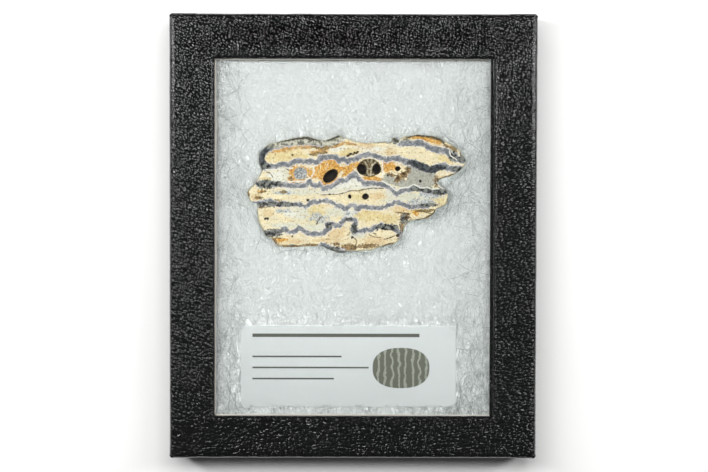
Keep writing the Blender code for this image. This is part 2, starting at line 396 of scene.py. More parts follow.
def makeLid():
    top, bottom, underside = lid["top"], lid["bottom"], lid["underside"]
    left, right, near, far = lid["window"]
    halfX, halfY = lid["width"] / 2, lid["length"] / 2
    piece = addBox("grained_lid", (-halfX, -halfY, bottom), (halfX, halfY, top))
    # hollow it from below
    pickFaces(piece, lambda centre, normal: normal.z < -0.9)
    bpy.ops.mesh.inset(thickness=lid["wall"] * mm)
    bpy.ops.mesh.extrude_region_move(TRANSFORM_OT_translate={"value": (0, 0, (underside - bottom) * mm)})
    # inset the roof on both faces, pull the loops to the window and join them through
    for level, side in ((top, 1), (underside, -1)):
        pickFaces(piece, lambda centre, normal: normal.z * side > 0.9 and abs(centre.z - level) < 0.1)
        bpy.ops.mesh.inset(thickness=8 * mm)
        bpy.ops.object.mode_set(mode="OBJECT")
        picked = [face for face in piece.data.polygons if face.select]
        for number in {number for face in picked for number in face.vertices}:
            corner = piece.data.vertices[number].co
            corner.x = (right if corner.x > 0 else left) * mm
            corner.y = (far if corner.y > 0 else near) * mm
    middle = Vector(((left + right) / 2, (near + far) / 2))
    pickFaces(piece, lambda centre, normal: (
        abs(normal.z) > 0.9 and (centre.xy - middle).length < 1 and centre.z > underside - 1))
    bpy.ops.mesh.bridge_edge_loops()
    # round the upright corners, the rim's outer edge, the window's lip and the hem
    outer = lambda p: abs(abs(p.x) - halfX) < 0.05 or abs(abs(p.y) - halfY) < 0.05
    inside = lambda p: left - 0.05 < p.x < right + 0.05 and near - 0.05 < p.y < far + 0.05
    high = lambda a, b: min(a.z, b.z) > top - 0.01
    roundEdges(piece, lid["cornerRound"], 4, lambda a, b: (
        outer(a) and outer(b) and abs(a.x - b.x) + abs(a.y - b.y) < 0.01))
    roundEdges(piece, lid["edgeRound"], 4, lambda a, b: outer(a) and outer(b) and high(a, b))
    roundEdges(piece, lid["lipRound"], 5, lambda a, b: inside(a) and inside(b) and high(a, b))
    roundEdges(piece, lid["hemRound"], 2, lambda a, b: (
        outer(a) and outer(b) and max(a.z, b.z) < bottom + 0.01))
    # a fine grid lets the covering follow the board unevenly
    cutGrid(piece, 0, np.arange(-halfX + 2, halfX - 1.5, lid["grid"]))
    cutGrid(piece, 1, np.arange(-halfY + 2, halfY - 1.5, lid["grid"]))
    cutGrid(piece, 2, np.arange(bottom + 1, top - 1.5, lid["wallGrid"]))
    points, normals = readPoints(piece), readVectors(piece, "normal")
    broad, fine = lid["swells"]
    swell = waves(points[:, [0, 1]] + points[:, [2]] * 0.7, broad, 4) * 0.6
    swell += waves(points[:, [1, 2]] + points[:, [0]] * 0.6, fine, 9) * 0.4
    points += normals * (swell * lid["unevenness"])[:, None]
    # folded tabs on the two short sides end in an upright step near each corner
    ragged = waves(points[:, [2, 2]], 8, 5) * 0.3
    tab = ramp(np.abs(points[:, 0]) + ragged, halfX - lid["tabReach"], lid["tabStep"])
    onEnd = (np.abs(normals[:, 1]) > 0.8) & (np.abs(points[:, 1]) > halfY - 0.6)
    points[:, 1] += np.where(onEnd, np.sign(points[:, 1]) * tab * lid["tabDepth"], 0)
    for x, y, dx, dy in lid["creases"]:
        start = np.array((lid["window"][x], lid["window"][y]))
        away = lineDistance(points[:, :2], [start, start + np.array((dx, dy)) * lid["creaseLength"]])
        ridge = np.exp(-(away / lid["creaseWidth"]) ** 2) * (points[:, 2] > lid["creaseFrom"])
        points[:, 2] += ridge * lid["creaseHeight"]
    points[:, 2] = np.minimum(points[:, 2], top + lid["proud"])
    writePoints(piece, points)
    activate(piece)
    bpy.ops.object.shade_smooth_by_angle(angle=math.radians(50))
    dress(piece, leatherette)
    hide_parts("case_lid")
    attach(piece, "root")
    return piece


lidPiece = makeLid()
print("lid:", len(lidPiece.data.polygons), "faces")


dress(frame["nodes"]["case_tray"], leatherette)
print("tray covered")


lining = {
    "level": 16.74, "thickness": 0.2, "outer": 0.9,     # it reaches this far back under the lip
    "glueWidth": 0.42, "flapNear": 2.1,                 # flap on the right widens to this at the near end
    "piece": 1.2,                                       # mm between the cuts along a strip
    "glue": ("#b3aea4", "#c6c2b9"),
}


def makeStrip(name, start, end, reach, wander, seed, made, level):
    # a thin strip along one side of the window: a plane cut across, its inner edge left ragged
    piece = addPrimitive(bpy.ops.mesh.primitive_plane_add, name, size=1)
    piece.scale = (mm, mm, mm)
    settle(piece)
    length = math.dist(start, end)
    cuts = int(length / lining["piece"])
    cutGrid(piece, 0, [k / cuts - 0.5 for k in range(1, cuts)])
    points = readPoints(piece)
    along = np.clip(points[:, 0] + 0.5, 0, 1)
    inner = points[:, 1] > 0
    a, b = np.array(start), np.array(end)
    step = (b - a) / length
    inward = np.array((-step[1], step[0]))
    depth = np.where(inner, reach[0] + (reach[1] - reach[0]) * along ** 1.6, -lining["outer"])
    run = np.column_stack((along * length, along * 0))
    ragged = waves(run, 6, seed) + 0.6 * waves(run, 2.1, seed + 1)
    depth = depth + np.where(inner, ragged * wander, 0)
    points[:, :2] = a + along[:, None] * (b - a) + depth[:, None] * inward
    points[:, 2] = level
    writePoints(piece, points)
    applyModifier(piece, "SOLIDIFY", thickness=lining["thickness"] * mm, offset=1.0)
    editAll(piece, bpy.ops.mesh.normals_make_consistent, inside=False)
    dress(piece, made)
    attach(piece, "root")


def makeLining():
    # Dried bookbinder's glue over raw board: dull beige grey
    glue, tree, shader = newMaterial("driedGlue")
    place = addNode(tree, "TexCoord").outputs["Object"]
    blotch = addNode(tree, "TexNoise", {"Vector": place, "Scale": 1 / (3 * mm), "Detail": 3})
    shade = addNode(tree, "Mix", {0: blotch, 6: lining["glue"][0], 7: lining["glue"][1]}, data_type="RGBA")
    fillInputs(tree, shader, {"Base Color": shade, "Roughness": 0.55})
    left, right, near, far = lid["window"]
    level, width = lining["level"], lining["glueWidth"]
    makeStrip("glue_left", (left, far), (left, near), (width, width * 0.8), 0.07, 11, glue, level)
    makeStrip("glue_far", (right, far), (left, far), (width * 0.5, width * 0.65), 0.05, 12, glue, level)
    makeStrip("glue_near", (left, near), (right, near), (width, width * 0.8), 0.09, 13, glue, level)
    makeStrip("covering_flap", (right, far), (right, near), (-0.1, lining["flapNear"]), 0.05, 14,
              leatherette, level + 0.02)


makeLining()
print("lining laid")


# smear: mm across the faint smears, and how rough they are
glass = {"tint": "#f8faf9", "shadow": "#f0f1f0", "smear": 18, "smearRoughness": 0.02}


def makeGlass():
    # Float glass: clear, faintly green, polished; lamps shine straight through it
    made, tree, shader = newMaterial("floatGlass")
    place = addNode(tree, "TexCoord").outputs["Object"]
    smear = addNode(tree, "TexNoise", {"Vector": place, "Scale": 1 / (glass["smear"] * mm), "Detail": 3})
    rough = addNode(tree, "MapRange", {
        "Value": smear, "From Min": 0.45, "From Max": 0.75, "To Max": glass["smearRoughness"]})
    fillInputs(tree, shader, {
        "Roughness": rough, "Base Color": glass["tint"], "Transmission Weight": 1, "IOR": 1.52})
    through = addNode(tree, "BsdfTransparent", {"Color": glass["shadow"]})
    shadowed = addNode(tree, "LightPath").outputs["Is Shadow Ray"]
    blend = addNode(tree, "MixShader", {0: shadowed, 1: shader, 2: through})
    fillInputs(tree, tree.nodes["Material Output"], {"Surface": blend})
    dress(frame["nodes"]["glass_pane"], made)


makeGlass()
print("glass done")


# Lines and patches below are in millimetres in the case's frame, seen from above.
molar = {
    "weld": 0.01, "voxel": 0.245, "top": 14.3, "bottom": 8.3, "hollowDepth": 3.2,
    # mm that each feature is sunk or, for the crystals and the flank, stands up at most
    "relief": {"crust": 0.16, "dark": 0.04, "pit": 0.5, "crack": 0.12, "speck": 0.30, "chip": 0.3,
               "deepest": 0.6, "crystal": 0.34, "flank": 0.09},
    # enamel folds: half width, then the middle of the band
    "enamel": [
        (0.92, [(-27.6, 21.7), (-28.8, 22.8), (-29, 24.9), (-28.3, 26.2), (-27, 27.5), (-24.8, 28.3)]),
        (1.04, [(-24.8, 28.3), (-22.4, 29), (-19.1, 29.6), (-14.2, 29.9), (-9.8, 29.4), (-6.9, 29.9),
                (-4, 31)]),
        (0.74, [(-27.6, 21.7), (-25.7, 21.9), (-24, 22.1), (-22, 22.8), (-20.7, 22.4), (-19.1, 23.05),
                (-17.5, 23.8), (-15.8, 23.55), (-14.2, 23.3), (-12.9, 23.8), (-11.7, 23.2), (-11, 23.5),
                (-10.1, 24.8), (-7.8, 25), (-5.6, 24.85), (-4.5, 23.6), (-3.2, 24.4), (-1.7, 23.3),
                (0.1, 24.2), (2.1, 25), (4.5, 25.75), (6.7, 25.2), (10.3, 24.1), (11.9, 24.5), (14, 24.6)]),
        (0.92, [(14, 24.6), (15.9, 23.65), (18.7, 23.15), (21.3, 22.1), (22.8, 21.4), (24.5, 21),
                (26.4, 21.6), (28.2, 22.4), (29.9, 21.5), (31.8, 21), (33.5, 21.3)]),
        (0.92, [(14.6, 29.2), (17.1, 29.5), (19.5, 29.2), (21.3, 29.5), (22.5, 28.9), (23.6, 28.2),
                (26.1, 27.2), (28.6, 26.9), (29.9, 26.3), (31.5, 24.8), (34.3, 24.1)]),
        (0.72, [(-30, 16.5), (-28, 16.3), (-26.5, 16.3), (-25, 16.4), (-23.5, 16.2), (-22, 16.1),
                (-20.5, 15.9), (-17, 15.9), (-15.5, 15.8), (-14.7, 16.3), (-13.8, 17.2), (-13.1, 16.3),
                (-12, 15.8), (-11, 16.1), (-10.5, 16.4), (-10, 15.6), (-9.3, 15), (-8.2, 15.3), (-7, 15.5),
                (-6, 16), (-5, 16.8), (-4.3, 17.6), (-3, 17.3), (-1.8, 17.7), (-0.9, 18.7), (0, 19.7),
                (0.5, 19.6), (1.3, 18.6), (2.3, 17.6), (3.3, 16.6), (4.5, 16.6), (6, 16.7), (7.5, 16.5),
                (9, 16.5), (10, 16), (11, 15.4), (12, 14.9), (13, 14), (13.7, 13.4), (14.3, 14),
                (15.2, 14.5), (16.5, 14.6), (17.8, 14.8), (19, 15.4), (20, 15.2), (21, 14.8), (22, 14.5),
                (23.2, 14.3), (24.5, 14.1), (26, 13.9), (27.2, 14), (28.4, 13.9), (29.2, 14.3)]),
        (0.62, [(-31.5, 10.3), (-30, 10.3), (-28, 10.7), (-26.5, 11), (-25, 10.6), (-24, 10), (-23, 9.6),
                (-22, 10.2), (-20, 9.9), (-18.5, 9.9), (-17, 10), (-16, 9.7), (-15, 9.2), (-14.2, 9.7),
                (-13.5, 10.5), (-12.5, 10.8), (-11, 10.6), (-10, 11), (-8.5, 11.2), (-7, 10.8), (-6, 10.2),
                (-5.2, 9.6), (-4.3, 9.6), (-3.4, 9.2), (-2.8, 8.4), (-2, 8.8), (-1.2, 9.5), (0, 9.7),
                (0.7, 9.2), (1.3, 8.5), (1.9, 8.4), (2.2, 9.4), (3.5, 9.4), (5, 9), (6.5, 8.9), (8.5, 9),
                (10, 9.3), (11, 9.7), (12.2, 10.2), (13.2, 10.7), (14.2, 10.8), (15, 10.3), (16, 9.9),
                (17.5, 9.4), (18.5, 9.4), (19.5, 9.3), (20.5, 9.5), (23.2, 9.5)]),
        (0.68, [(-27.8, 0.8), (-27, 0.9), (-25.5, 1.2), (-24, 1.2), (-23, 1.5), (-22.2, 2.2), (-21.5, 2.3),
                (-20.7, 1.6), (-20, 1.3), (-18.8, 1.4), (-17.8, 2.2), (-17, 2.7), (-16.2, 2.2),
                (-15.2, 1.4), (-14, 0.8), (-12.5, 0.7), (-10, 0.7), (-9, 1.3), (-8, 2.1), (-7.4, 2.4),
                (-7.8, 3.2), (-8, 3.9), (-7, 4.1), (-6, 3.7), (-5.5, 3.4), (-4.3, 3.5), (-3.6, 4.3),
                (-3.2, 5), (-2.2, 5.4), (-1, 5.5), (0, 5.4), (0.8, 5), (1, 4.2), (0.4, 3.4), (0, 2.7),
                (0, 2.1), (0.8, 1.5), (2, 1.6), (3.5, 1.9), (4.5, 2.1), (5.7, 2.1), (6.5, 2.6), (7.5, 3.1),
                (8.8, 3.6), (9.8, 3.1), (11, 3), (12.2, 2.7), (13.2, 2.2), (14, 1.7), (14.5, 0.9),
                (14.2, 0.2)]),
        (0.7, [(-10, -2.7), (-9, -2.8), (-8, -3.4), (-7, -4), (-6, -4.4), (-4.8, -4.4), (-3.6, -4.7)])],
    # white outlines beside the folds
    "white": [
        [(13.3, 28.5), (14.9, 30.3)],
        [(8.9, 17.6), (9.5, 17.1), (10.5, 16.6), (11.8, 16), (12.7, 15), (13.6, 14.3), (14.3, 14.8),
         (15, 15.3), (17.5, 15.5), (18.4, 16.2), (19, 16.4), (20, 16), (21, 15.4), (22, 15.2), (23, 15.6),
         (24, 15.2), (25, 14.9), (27, 15)],
        [(26.3, 17.1), (26.8, 16.3), (27.3, 15.6), (28.2, 15.1)],
        [(-10, 13.2), (-7.4, 13.45), (-5, 13.45), (-3, 13.85), (-1, 14.6), (0.5, 14.75)],
        [(3.9, 20.2), (4.6, 22.9)], [(5.9, 19.6), (5.1, 22.6)], [(4.2, 19.4), (5, 20.6), (5, 23.4)],
        [(-27.8, 20.9), (-24, 20.9), (-20.5, 21.1), (-19, 21.5)],
        [(-20.5, 17.2), (-15.2, 17.3), (-14, 18.4)], [(8.6, 18.5), (9.3, 19.4), (9.2, 23.2)],
        [(-13.3, 18.4), (-12.2, 20.4), (-12.8, 22.2), (-11.2, 22.2)],
        [(30.2, 27.2), (30.6, 25.4), (32.6, 24.2)]],
    # pale struts across the double pit, and the thin dark line along the weathered rim
    "struts": [
        [(3.6, 23.4), (4.3, 22.4), (4.6, 21.4), (4.4, 20.2), (4.8, 19.3)], [(5.2, 19.2), (6.4, 19.5)],
        [(6.9, 23.3), (6, 22.2), (5.5, 21.2), (5.6, 20.2), (5.2, 19.2)], [(4.6, 21.4), (5.5, 21.2)],
        [(4.5, 24), (4.7, 23.4)], [(5.9, 24), (5.6, 23.2), (6, 22.2)]],
    "rimLine": [
        [(-22.8, 29.9), (-20.4, 30.5), (-17.8, 30.8), (-14.8, 31), (-12.2, 30.5), (-10.6, 30.2)],
        [(-8.4, 30.4), (-6.5, 30.9), (-4.6, 31.5)],
        [(17, 31.3), (19.5, 32), (23.6, 31.6), (27.4, 30.5), (28.3, 29.7)], [(12.6, 31), (13.9, 30)]],
    # hairline cracks and thin dark veins
    "hair": [
        [(-10, 13), (-7.4, 13.2), (-5, 13.2), (-3, 13.6), (-1, 14.3), (0.5, 14.4), (1.5, 14.2), (3, 14.7)],
        [(3, 14.7), (6, 15.2), (9.5, 15.1)], [(-27.4, 20.2), (-26.3, 19.9), (-25.7, 19.2), (-25.3, 18.5)],
        [(-11.6, 3.8), (-10.6, 5.4), (-10, 6.2)], [(10, 2.2), (12, 2.1), (13, 1.6)],
        [(-2, 0.3), (-1.2, 0.8), (-1, 1.3)],
        [(-0.3, -0.2), (0.8, -0.9), (1.2, -1.5), (0.9, -2.6), (0.3, -4)],
        [(20, 8), (22, 8), (23, 7.5), (25, 7.2), (25.7, 7.7), (25.5, 8.5), (24, 8.5)],
        [(-24.4, -0.6), (-22.6, -0.7)], [(5, 0.6), (6.4, -0.2), (8.4, -0.4)],
        [(9.6, -0.9), (11.6, -0.5), (13, 0.2)], [(6.2, 1), (7.2, 0.7)], [(-8.7, -0.9), (-7.6, -1)],
        [(-21.4, 21.4), (-20.2, 20.7)], [(14.6, 3.9), (15, 2.4), (14.9, 1.2)], [(13.4, 7.6), (15.4, 7.4)]],
    # dark specks: x, y, radius
    "specks": [
        (21.1, 17.4, 0.42), (10.9, 19.2, 0.34), (-27.7, 5.5, 0.36), (-26.9, 5.5, 0.36), (-27.3, 5.5, 0.22),
        (-19.2, 25.5, 0.32), (-14.3, 11.4, 0.45), (-7.4, 13.2, 0.28), (31.7, 26.6, 0.3), (-0.2, -0.3, 0.4),
        (-1.9, 25.3, 0.36), (-1.3, 25.55, 0.32), (-0.7, 25.9, 0.36), (-0.1, 25.7, 0.28), (0.3, 26.3, 0.36),
        (0.9, 26.2, 0.3), (1.4, 26.6, 0.32), (-1.2, 26.1, 0.24), (26, 15.7, 0.28), (-19.2, -0.1, 0.26),
        (15.2, 5.2, 0.35), (17.3, 7, 0.3), (-29.4, 12.1, 0.3), (13.1, 3.4, 0.22), (26.9, 17.4, 0.4),
        (-2.1, 5.4, 0.3), (10.1, 3.6, 0.3), (7.6, 2, 0.3), (9.2, 2.3, 0.3)],
    # soft patches of colour: x, y, half length, half width and any turn in degrees
    "haze": [
        (-17, 14, 8, 1.1), (-7, 14.5, 5, 1, 5), (-1, 16.5, 2.6, 1.8), (5, 15.4, 4, 0.8),
        (17, 12.6, 5, 1.6, -4), (23, 12.4, 3.6, 1.9), (-16, 7.4, 4, 2.2), (-6, 7.6, 4, 1.4),
        (-1.4, 7.3, 3.2, 1.6), (-21, 3.4, 5, 0.9), (-12, 3, 4, 1.4), (-22, 19.8, 2.4, 1.8),
        (-23, 17.6, 5, 0.9), (1.5, 0.3, 3, 1), (12.6, 11.2, 4, 0.8), (11.6, 13.3, 1.9, 1.5),
        (0.2, 17.6, 1.4, 1.6)],
    "chalk": [
        (0.3, 17.5, 2.2, 1.7), (-3.4, 15.8, 3.4, 0.8, 14), (2.2, 15.6, 2.4, 0.7), (-24.6, 18.9, 2.6, 1.4),
        (-1.2, 7, 1.8, 1.4), (-20, 7.2, 2, 1.2), (4, 27.6, 6, 0.8), (-4.5, 27.4, 3, 0.9)],
    "yellow": [
        (-22, 25.4, 6, 2.2, 8), (-17, 24.9, 3, 1.1), (4.5, 6.4, 5, 1.8), (11, 5.6, 3.6, 1.6),
        (-11.5, 7.6, 3, 2.2), (26.5, 11.2, 3, 1.2), (28.4, 24.6, 3, 1.2, -30), (-12, 5.4, 3, 1.6),
        (19.6, 8.2, 4.4, 1.1), (-27, 18, 1.6, 0.6), (2, 12.4, 3, 1.2), (18.6, 30.9, 3.4, 0.7, 8),
        (-1.5, 26.6, 4, 1.2, 10)],
    "peach": [
        (-27, 7.2, 1.6, 1.2), (-5, 0.9, 3, 1.8, 20), (4, 28.4, 3, 1.2), (11.6, 26.6, 1.6, 1.2),
        (-20, -1.6, 5, 0.9), (15.4, 8.4, 3.4, 1.2), (-30.6, 12.4, 1.6, 1.2), (7.5, 12.6, 3, 1),
        (28, 19.2, 3, 0.9, 4), (7, -1.4, 4, 1.4), (-8, -1.4, 5, 0.7), (25.6, 29.4, 2, 0.8, -25)],
    "amber": [
        (-16.6, 19.9, 3.5, 2.8), (-11.5, 19.8, 3.2, 1.9), (-6.8, 22.4, 3.4, 1.9),
        (-7.2, 18.4, 3.6, 2.2, 24), (-2.2, 20.8, 2.6, 2.2), (-10.2, 21.6, 1.6, 1.8), (1.2, 22.2, 1.8, 1.4),
        (6, 18, 3.2, 0.8), (11.4, 21.9, 2.6, 1.9), (-18.8, 18, 1.8, 1.2), (13.6, 22.6, 1.4, 0.9),
        (24.4, 30.5, 3.6, 0.9, -16), (20.5, 31.3, 4, 0.45, 4), (19.8, 7.4, 0.9, 0.8),
        (-23.5, -1.2, 2.8, 0.5), (-29, 14.1, 1.3, 0.35), (0.6, 1.2, 0.5, 0.4)],
    # orange brown streaks under the weathered rim
    "streaks": [
        (-20.4, 27.6, 4.8, 0.75, 12), (-14.6, 28.2, 4, 0.75), (-11.4, 28.1, 2.6, 0.8, -8),
        (-9.4, 27.2, 2.2, 0.9, 10), (-4.6, 28.7, 2.6, 0.5, 22), (-1.2, 29.2, 2.4, 0.45, -10),
        (-12.2, 26.4, 2, 0.5, 12)],
    "cream": [
        (14.4, 22.8, 1.7, 0.8), (-14.3, 22.2, 1.3, 0.8), (-12.2, 17.6, 1.2, 0.6, 30),
        (-3.4, 22.6, 0.9, 0.8), (-17.4, 22.4, 1.2, 0.5), (15.8, 22.2, 1.6, 0.7),
        (-12.8, 21.8, 0.5, 1.2, 30), (-14.5, 18.2, 0.7, 1), (13.3, 19.9, 2.6, 0.7, -12),
        (0.6, 20.4, 0.5, 1.2), (-4, 19.4, 0.6, 1.3, -30), (28.2, 19.7, 3.2, 0.7, 4)],
    "olive": [
        (-10.2, 28.2, 3, 0.9), (-8.2, 28.2, 2, 0.9, 20), (-5.6, 29.6, 1.4, 1, 30),
        (-10.6, 26.1, 2.4, 0.5, 4), (-25.5, 10.6, 3.4, 0.9), (-28.6, 13.9, 1.6, 0.35, 12),
        (-30.2, 10.4, 1.6, 0.5), (22.4, 8.1, 3, 0.5), (-22, 13.9, 1.2, 0.5), (-12.8, 25.6, 1.2, 0.35, -10),
        (31.6, 27.6, 1.4, 0.8, -40)],
    "grey": [
        (14, 17.1, 4.6, 1.2, -14), (20.5, 18.6, 3.4, 2.5), (18.4, 21.3, 1.5, 1, -20), (23.8, 18, 2.4, 2.4),
        (11.4, 18.4, 1.8, 1, -20), (21.5, 16.7, 3.8, 1.1)],
    "brown": [
        (13.9, 17.8, 1.2, 0.9, 30), (15.6, 19.1, 1.7, 1.2, 20), (17.2, 20.8, 0.9, 1.1),
        (12.2, 19.3, 1.8, 0.4, -15), (16.3, 6.1, 1.7, 1.6), (15.4, 3.6, 0.6, 2.6),
        (26.2, 17.4, 0.8, 1.6, 10), (29.5, 28.4, 1.4, 0.5, -15), (-29.9, 12, 1.2, 0.5),
        (-19.5, -3.1, 3.2, 0.4), (-13, -2.7, 3, 0.4), (-14.6, 18.6, 0.4, 0.3), (-5.3, -2.5, 1.4, 0.5),
        (4.5, -3.1, 3.4, 0.8, 4), (-1.4, -3.4, 2.8, 1), (-28.8, 9.3, 1.6, 0.6), (14.6, 0, 0.8, 0.9),
        (29.6, 18.8, 2.8, 0.3, 18), (10.4, -2.9, 2.4, 0.35, 20), (-24.6, -1.4, 0.6, 1.4, 40),
        (24.6, 6.7, 2.6, 0.35, 25), (-33, 13, 0.4, 1.3), (-28.2, 11.2, 1.4, 0.35), (-19.6, 18.2, 0.8, 0.6),
        (34, 26, 0.5, 0.9), (0.6, 2.4, 0.5, 0.8)],
    "dark": [
        (-27.6, 16.3, 2.9, 1.45), (-24, 16.4, 1.6, 0.8), (-27.4, 22, 1.2, 0.9), (-25.8, 0.9, 3.4, 1.2, 5),
        (-22.4, 10, 4.4, 0.7), (27.2, 14.2, 2.6, 1.2), (20.5, 14.9, 2.6, 0.7), (23.4, 14.6, 1.4, 0.9),
        (10.6, 2.9, 4, 0.9), (31.4, 25, 1.3, 1.4, -50), (34.4, 24.2, 1.2, 1), (13.1, 30.1, 1, 1.2, 30),
        (0.3, 2.4, 1, 1.6), (-7.6, 3.3, 1, 1), (-26.2, 10, 3.6, 0.8), (23.6, 9.9, 3, 0.5),
        (-1.6, 5.3, 1.2, 0.5), (32.4, 21.3, 1.6, 0.8, 10), (-5.8, -4.1, 1.8, 0.8), (-19.6, -2.9, 0.8, 0.3),
        (16.2, 5.4, 1.4, 1.5, 20)],
    # slate-coloured stretches of enamel
    "slate": [
        (-28.9, 24.4, 1.6, 2.6), (-24.6, 28.9, 2.6, 0.8, 14), (-19.6, 30.6, 3.2, 0.45, 4),
        (-28.2, 22, 1.4, 1.2), (-27.2, 27.4, 1.8, 0.9, 40), (21.5, 22, 4, 1.4, -20),
        (25.6, 21.2, 3, 1.2, 10)],
    # weathered stretch of the outermost fold: grey-olive and granular
    "weathered": [
        (-23.5, 29, 3.4, 1.1, 12), (-16.5, 30.1, 6, 1.4, 3), (-9.5, 29.7, 5, 1.2, -6),
        (-5.2, 30.6, 2.4, 1.4, 30), (-6.6, 29.4, 2, 1.2, 10), (16.4, 30.6, 1.8, 0.7, 10)],
    # pale and dark crystals strewn through these stretches
    "strewn": [
        (21.8, 10.7, 5.2, 1.2), (24, 12.9, 4.2, 1.2), (-22, 13.6, 3.4, 0.6), (31.8, 26.6, 1.3, 1.1),
        (-22, 7.9, 2.6, 0.8), (-1, 7.2, 2, 0.8), (-11, 5.6, 3.6, 1.6), (0.6, 1.2, 1.2, 0.8),
        (-2.2, -4, 2.4, 0.8), (-26.4, 10.4, 2, 0.6)],
    "pit": [(5.03, 21.55, 3.75, 2.9)],
    # hollows of the solid
    "hollows": [
        (-7.2, 18.95, 2.85, 1.75, 24), (2.7, 21.1, 1.55, 1.9, 12), (7.35, 21.2, 1.45, 1.8, -8),
        (14, 21.3, 0.95, 0.8), (16, 19.7, 0.9, 0.5, -20), (14, 18.4, 0.7, 0.6, 40),
        (3.85, 12.5, 1.15, 1.05), (-1.1, 12.5, 0.6, 0.75), (16.7, 5.9, 0.6, 0.6), (14, 0.25, 0.65, 0.6),
        (4.7, 23.4, 0.4, 0.65), (5.55, 22.6, 0.35, 0.5, -20)],
    "crystals": [(-16.6, 19.75, 2.2, 2.05)],
}
patchNames = ("haze", "chalk", "yellow", "peach", "amber", "streaks", "cream", "olive", "grey", "brown",
              "dark", "slate", "weathered", "strewn", "pit", "crystals")
lineNames = ("white", "hair", "struts", "rimLine")


def makeOutlineDistance():
    # signed distance to the slice's edge seen from above, negative inside, read off its solid by rays
    step = 0.2
    tree = rayTree(frame["nodes"]["molar_slice"])
    xs, ys = np.arange(-38, 40, step), np.arange(-9, 36, step)
    inside = np.array([[rayDown(tree, x, y) is not None for y in ys] for x in xs])
    within = np.roll(inside, 1, 0) & np.roll(inside, -1, 0) & np.roll(inside, 1, 1) & np.roll(inside, -1, 1)
    rim = np.array([(xs[i], ys[j]) for i, j in np.argwhere(inside & ~within)])

    def distance(flat):
        away = np.full(len(flat), 30.0)
        near = (flat[:, 0] > -48) & (flat[:, 0] < 50) & (flat[:, 1] > -20) & (flat[:, 1] < 46)
        picked = flat[near]
        found = np.empty(len(picked))
        for k in range(0, len(picked), 2000):
            block = picked[k:k + 2000, None]
            found[k:k + 2000] = np.min(np.hypot(block[..., 0] - rim[:, 0], block[..., 1] - rim[:, 1]), axis=1)
        i = np.clip(np.round((picked[:, 0] - xs[0]) / step).astype(int), 0, len(xs) - 1)
        j = np.clip(np.round((picked[:, 1] - ys[0]) / step).astype(int), 0, len(ys) - 1)
        away[near] = np.where(inside[i, j], -found, found)
        return away
    return distance


outlineDistance = makeOutlineDistance()
print("slice outline read")


def makeMolar():
    source = frame["nodes"]["molar_slice"]
    piece = source.copy()
    piece.data = source.data.copy()
    piece.name = piece.data.name = "molar"
    bpy.context.scene.collection.objects.link(piece)
    piece.parent = None
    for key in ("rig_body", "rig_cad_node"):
        del piece[key]
    editAll(piece, bpy.ops.mesh.remove_doubles, threshold=molar["weld"] * mm)
    applyModifier(piece, "REMESH", mode="VOXEL", voxel_size=molar["voxel"] * mm)
    return piece


def readFields(flat, normals, depth):
    # how strongly each of the slice's features shows at each point, or how far away it is
    fields = {name: patchField(flat, molar[name]) for name in patchNames}
    fields.update({name: nearestLine(flat, molar[name]) for name in lineNames})
    # the folds wander and are ragged
    wander = waves(flat, 3.1, 50) * 0.10 + waves(flat, 1.7, 51) * 0.12 + waves(flat, 0.9, 52) * 0.12
    fold = np.min([lineDistance(flat, line) - half for half, line in molar["enamel"]], axis=0) + wander
    fields["fold"] = fold
    fields["deepFold"] = np.clip(0.6 - fold * 3, 0, 1) * np.clip(
        0.5 + 0.6 * waves(flat * (0.4, 1), 1.1, 53), 0, 1)
    for name in ("slate", "weathered"):
        fields[name] = fields[name] * np.clip(1.1 - fold * 1.6, 0, 1)
    # pale veins net the amber
    net = np.minimum(np.abs(waves(flat, 2.3, 61)), np.abs(waves(flat, 1.7, 62)))
    fields["vein"] = fields["amber"] * np.clip(1.15 - net / 0.22, 0, 1)
    fields["speck"] = np.min([np.hypot(flat[:, 0] - x, flat[:, 1] - y) - radius
                              for x, y, radius in molar["specks"]], axis=0)
    fields["edge"] = -outlineDistance(flat)
    hollow = (patchField(flat, molar["hollows"]) > 0.3) & (depth < molar["hollowDepth"])
    # painted shade: the hollows darken with depth, dark brown just inside the mouth and near black further
    # down
    fields["mouth"] = hollow * ramp(depth, 0.08, 0.3)
    fields["hollowShade"] = hollow * ramp(depth, 0.35, 0.9)
    fields["flank"] = np.clip((0.75 - np.abs(normals[:, 2])) / 0.5, 0, 1) * ~hollow
    fields["rough"] = np.clip(np.maximum.reduce([fields["brown"], fields["flank"], hollow * 1.0]), 0, 1)
    return fields


def shapeMolar(piece):
    points, normals = readPoints(piece), readVectors(piece, "normal")
    flat, depth = points[:, :2], molar["top"] - points[:, 2]
    fields = readFields(flat, normals, depth)
    for name, values in fields.items():
        addAttribute(piece, name, values)
    # relief: crusts, specks and cracks are sunk, crystals stand in their pocket
    rough = waves(flat, 0.9, 21) * 0.5 + waves(flat, 1.7, 22) * 0.5
    relief = molar["relief"]
    sink = (relief["crust"] * fields["brown"] + relief["dark"] * fields["dark"]) * (1 + rough)
    sink += relief["pit"] * fields["pit"] * (fields["struts"] > 0.3)
    sink += relief["crack"] * np.clip(1 - fields["hair"] * 5, 0, 1)
    sink += relief["speck"] * np.clip(0.5 - fields["speck"] * 2.2, 0, 1)
    chipped = np.clip(relief["chip"] - fields["edge"], 0, relief["chip"]) * (0.6 + 0.5 * waves(flat, 2.2, 24))
    sink = np.clip(sink + np.clip(chipped, 0, 0.5), 0, relief["deepest"])
    lump = fields["crystals"] * (relief["crystal"] * np.abs(waves(flat, 1.0, 23)) + 0.08)
    points[:, 2] += lump * (depth < 1.3) - sink * (depth < 0.35)
    # the natural flanks are pitted
    pitted = fields["flank"] * (waves(points[:, [0, 2]] + points[:, [1]], 1.3, 25) * relief["flank"])
    points += normals * pitted[:, None]
    points[:, 2] = np.clip(points[:, 2], molar["bottom"], molar["top"])
    writePoints(piece, points)


